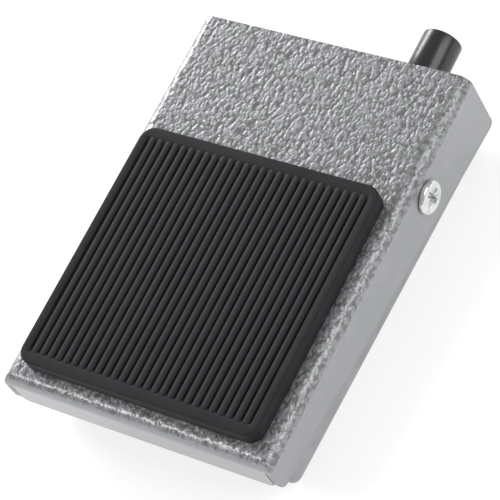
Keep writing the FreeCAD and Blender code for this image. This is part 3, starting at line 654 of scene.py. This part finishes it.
class PadRibs(Growth):
    """The row of round-topped ribs that fills the pad's field."""

    def __init__(self):
        super().__init__("tread_pad_ribbed", {
            "Ribs": 27, "Pitch": 2.18 * MM, "Width": 1.64 * MM, "Height": 0.84 * MM,
            "Length": 58.6 * MM, "Middle": -(PAD_TOE + PAD_HEEL) / 2 * MM,
            "Bed": (TREADLE_TOP + PAD_THICK - FIELD_SUNK) * MM,
            "Worn from": 0.6 * MM, "Worn by": 0.8 * MM, "Material": finishes["ribbed_rubber"]})

    def rib(self):
        """One rib on its bed, lying along Y, rounded in section and at its ends; its crown is marked for a
        painted highlight.
        """
        i = self.inputs
        grid = self.geometry("MeshGrid", {"Size X": 2.0, "Size Y": 2.0, "Vertices X": 13, "Vertices Y": 37})
        u, v, _ = self.split(self.geometry("InputPosition"))
        half_width, half_length = self.times(i["Width"], 0.5), self.times(i["Length"], 0.5)
        lean = self.times(u, math.pi / 2)
        y = self.times(self.math("SINE", self.times(v, math.pi / 2)), half_length)
        past = self.minus(self.math("ABSOLUTE", y), self.minus(half_length, half_width))
        past = self.over(self.most(past, 0.0), half_width)
        narrow = self.math("SQRT", self.most(self.minus(1.0, self.times(past, past)), 0.0))
        x = self.times(self.times(self.math("SINE", lean), half_width), narrow)
        crown = self.math("POWER", self.most(self.math("COSINE", lean), 0.0), 0.42)
        z = self.times(self.times(crown, i["Height"]), self.math("POWER", narrow, 0.6))
        rib = self.geometry("SetPosition", {"Geometry": grid, "Position": self.joined(x, y, z)})
        height = self.split(self.geometry("InputPosition"))[2]
        # Painted highlight: marks the top of the rib, by its height, so that the rubber is drawn lighter
        # there.
        worn = self.ramp(height, i["Worn from"], i["Worn by"])
        return self.welded(self.with_attribute(rib, "worn", worn))

    def row(self):
        i = self.inputs
        start = self.times(self.times(self.minus(i["Ribs"], 1.0), i["Pitch"]), -0.5)
        points = self.geometry("MeshLine", {
            "Count": i["Ribs"], "Start Location": self.joined(start, i["Middle"], i["Bed"]),
            "Offset": self.joined(i["Pitch"], 0.0, 0.0)})
        return self.geometry("InstanceOnPoints", {"Points": points, "Instance": self.rib()})


def ribbed_pad():
    g = PadRibs()
    whole = g.on_treadle(g.together(g.row(), g.inputs["Geometry"]))
    piece = link("tread_pad_ribbed", shaded(g.grown(whole, pad_body()), 35))
    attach(piece, "treadle")
    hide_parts("tread_pad")


ribbed_pad()


# ---------------------------------------------------------------- pivot screws

# Sizes of one screw, in mm. The flat is a share of the head's radius, and the ticks are the
# shallow lines between the arms of the cross.
HEAD_RADIUS = 4.0
HEAD_FLAT = 0.8
HEAD_TALL = 1.3
HEAD_RIM_TALL = 0.35
HEAD_UNDERCUT = 0.12
SHANK_RADIUS = 2.0
SHANK_LENGTH = 8.0
SHANK_PLAIN = 1.0
SHANK_TIP = 0.4
THREAD_PITCH = 0.7
THREAD_DEEP = 0.35
RECESS_ARM = 1.15
RECESS_REACH = 2.3
RECESS_DEEP = 1.45
RECESS_WALL = 0.3
RECESS_LEAD_IN = 0.35
TICK_HALF = 0.12
TICK_FROM = 1.0
TICK_DEEP = 0.22


def cross_depth(x, y):
    """How deep the cross recess is at a point in the head's plane, with a sloping wall."""
    half = RECESS_ARM / 2
    inside = max(min(half - abs(x), RECESS_REACH - abs(y)), min(half - abs(y), RECESS_REACH - abs(x)))
    share = min(max(inside / RECESS_WALL + RECESS_LEAD_IN, 0.0), 1.0)
    return RECESS_DEEP * share * share * (3 - 2 * share)


def head_height(x, y, radius):
    """Height of the screw head's face: a flat with a domed rim, the recess and the ticks."""
    flat = HEAD_RADIUS * HEAD_FLAT
    edge = max(radius - flat, 0.0) / (HEAD_RADIUS - flat)
    crown = HEAD_TALL - (HEAD_TALL - HEAD_RIM_TALL) * (1 - math.sqrt(max(1 - edge * edge, 0.0)))
    height = crown - cross_depth(x, y)
    to_diagonal = min(abs(x + y), abs(x - y)) / math.sqrt(2)
    if to_diagonal < TICK_HALF and TICK_FROM < radius < RECESS_REACH:
        height = min(height, crown - TICK_DEEP)
    return height


def pan_head(rings=64, steps=160):
    """A pan-head machine screw along +Z, with its seat at 0."""
    loops = [circle(SHANK_RADIUS - SHANK_TIP, -SHANK_LENGTH, steps)]
    threads = int((SHANK_LENGTH - SHANK_TIP - SHANK_PLAIN) / THREAD_PITCH)
    loops.append(circle(SHANK_RADIUS, -SHANK_PLAIN - threads * THREAD_PITCH, steps))
    for k in reversed(range(threads)):
        z = -SHANK_PLAIN - k * THREAD_PITCH
        loops.append(circle(SHANK_RADIUS - THREAD_DEEP, z - THREAD_PITCH / 2, steps))
        loops.append(circle(SHANK_RADIUS, z, steps))
    loops += [circle(SHANK_RADIUS, 0.0, steps), circle(HEAD_RADIUS - HEAD_UNDERCUT, 0.0, steps),
              circle(HEAD_RADIUS, HEAD_UNDERCUT, steps)]
    for ring in reversed(range(rings + 1)):
        radius = max(HEAD_RADIUS * ring / rings, 0.004)
        flat_ring = circle(radius, 0.0, steps)
        loops.append([(x, y, head_height(x / MM, y / MM, radius) * MM) for x, y, _ in flat_ring])
    points, faces = bridged(loops)
    return tidied(mesh_from("pivot_screw", points, faces))


def pivot_screws():
    """The right and left screws; each stopped with its cross at its own angle."""
    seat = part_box("pivot_screws")[1].x - HEAD_TALL * MM
    places = []
    for side, twist in ((1, 14), (-1, 63)):
        turn = Matrix.Rotation(math.radians(twist), 3, "X") @ Matrix.Rotation(side * math.pi / 2, 3, "Y")
        places.append(((side * seat, PIVOT.y, PIVOT.z), tuple(turn.to_euler())))
    repeated("pivot_screw_pair", pan_head(), places, finishes["bright_zinc"], "base",
             "pivot_screws")


pivot_screws()


# ---------------------------------------------------------------- feet, gland and spring

def feet():
    """Four round rubber feet, hollowed below for their rivets, at the corners of the base."""
    radius, tall = 5.0, 2.0
    rivet_hole, well, well_deep = 1.6, 3.2, 1.0
    profile = [(rivet_hole, tall), (radius - 0.1, tall), *arc(4.85, 1.85, 0.15, 90, 0, 3),
               *arc(4.45, 0.35, 0.35, 0, -90, 5), *arc(3.5, 0.2, 0.2, 270, 180, 3),
               (well, well_deep), (rivet_hole, well_deep)]
    low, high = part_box("rubber_feet")
    x = high.x - radius * MM
    toe, heel = low.y + radius * MM, high.y - radius * MM
    places = [((side * x, y, 0), (0, 0, 0)) for side in (1, -1) for y in (toe, heel)]
    repeated("rubber_foot_set", turned_ring("rubber_foot", profile, 72), places,
             finishes["foot_rubber"], "base", "rubber_feet")


feet()


def gland():
    """The cable outlet: a moulded sleeve with a rounded lip, a step at its root and a threaded neck."""
    heel_lean = math.radians(3.0)
    across, up, pan_floor, wall_back = 21.15 * MM, 18.0 * MM, 2.0 * MM, 27.4 * MM
    wall_y = PIVOT.y + wall_back - (up - pan_floor) * math.tan(heel_lean)
    root = Vector((across, wall_y, up))
    out = Vector((0, math.cos(heel_lean), math.sin(heel_lean)))

    bore, sleeve, collar, lip = 2.75, 4.78, 4.82, 0.5
    crest, valley, pitch, neck_end = 3.9, 3.62, 0.8, -6.4
    threads = [point for k in range(6) for point in (
        (crest, neck_end + 0.4 + pitch * k), (valley, neck_end + 0.8 + pitch * k))]
    neck = [(bore, neck_end), (crest - 0.2, neck_end), (crest, neck_end + 0.2), *threads,
            (crest, -0.9), (crest, 0.0)]
    root_step = [*arc(collar - 0.12, 0.12, 0.12, -90, 0, 3), (collar, 1.0), (collar - 0.1, 1.12),
                 (collar - 0.1, 1.3), (sleeve, 1.42)]
    mouth = [*arc(sleeve - lip, 11.5, lip, 0, 90, 8), *arc(bore + lip, 11.5, lip, 90, 180, 8)]
    mesh = turned_ring("cable_outlet", neck + root_step + mouth, 96)
    mesh.transform(Matrix.Translation(root) @ Vector((0, 0, 1)).rotation_difference(out).to_matrix().to_4x4())
    piece = link("cable_outlet", shaded(mesh, 30))
    piece.data.materials.append(finishes["gland_plastic"])
    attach(piece, "base")
    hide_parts("cable_gland")


gland()


def return_coil():
    """The return spring, a wound wire, made at its rest length; nothing here shortens it as the treadle goes
    down.
    """
    low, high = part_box("return_spring")
    wire = 0.6 * MM
    g = Growth("return_coil", {
        "Turns": 6.0, "Radius": 4.6 * MM, "Wire": wire, "Tall": high.z - low.z - 2 * wire,
        "Material": finishes["spring_steel"]})
    i = g.inputs
    path = g.geometry("CurveSpiral", {"Resolution": 40, "Rotations": i["Turns"], "Start Radius": i["Radius"],
                                      "End Radius": i["Radius"], "Height": i["Tall"], "Reverse": True})
    section = g.geometry("CurvePrimitiveCircle", {"Resolution": 12, "Radius": i["Wire"]})
    coil = g.geometry("CurveToMesh", {"Curve": path, "Profile Curve": section, "Fill Caps": True})
    middle = ((low.x + high.x) / 2, (low.y + high.y) / 2, low.z + wire)
    placed = g.geometry("Transform", {0: coil, "Translation": middle})
    piece = link("return_coil", shaded(g.grown(placed)))
    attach(piece, "base")
    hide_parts("return_spring")
    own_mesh(piece)


return_coil()


# ---------------------------------------------------------------- light and floor

def soft_light(name, place, size, watts):
    """A rectangular panel that faces the pedal."""
    lamp = bpy.data.lights.new(name, "AREA")
    lamp.shape = "RECTANGLE"
    lamp.size, lamp.size_y = size
    lamp.energy = watts
    light = bpy.data.objects.new(name, lamp)
    bpy.context.scene.collection.objects.link(light)
    light.location = place
    light.rotation_euler = (-Vector(place)).to_track_quat("-Z", "Y").to_euler()


def studio():
    """An even white surround with three soft panels."""
    world = bpy.data.worlds.new("studio")
    bpy.context.scene.world = world
    world.use_nodes = True
    surround = world.node_tree.nodes["Background"].inputs
    surround["Color"].default_value = (1, 1, 1, 1)
    surround["Strength"].default_value = 0.45
    soft_light("low_back_panel", place=(-1.0, 0.55, 0.45), size=(0.6, 0.45), watts=9)
    soft_light("right_panel", place=(0.8, 0.2, 0.7), size=(0.7, 0.7), watts=4.6)
    soft_light("toe_strip", place=(-0.55, -0.5, 0.85), size=(0.3, 0.3), watts=3.0)
    bpy.context.scene.view_settings.view_transform = "Standard"


def white_floor():
    """A pale floor that gives off a little light of its own, just below the feet."""
    reach, below = 6.0, 0.05 * MM
    corners = [(-reach, -reach, 0), (reach, -reach, 0), (reach, reach, 0), (-reach, reach, 0)]
    floor = link("floor", mesh_from("floor", corners, [(0, 1, 2, 3)]))
    floor.location.z = -below
    material, w, shader, place = start_material("floor_white", Roughness=0.75,
                                                Emission_Color=(1, 1, 1, 1), Emission_Strength=0.62)
    use(w, shader, Base_Color=w.blended(w.noise(place, 0.01)[0], grey(0.49), grey(0.52)))
    floor.data.materials.append(material)


studio()
white_floor()
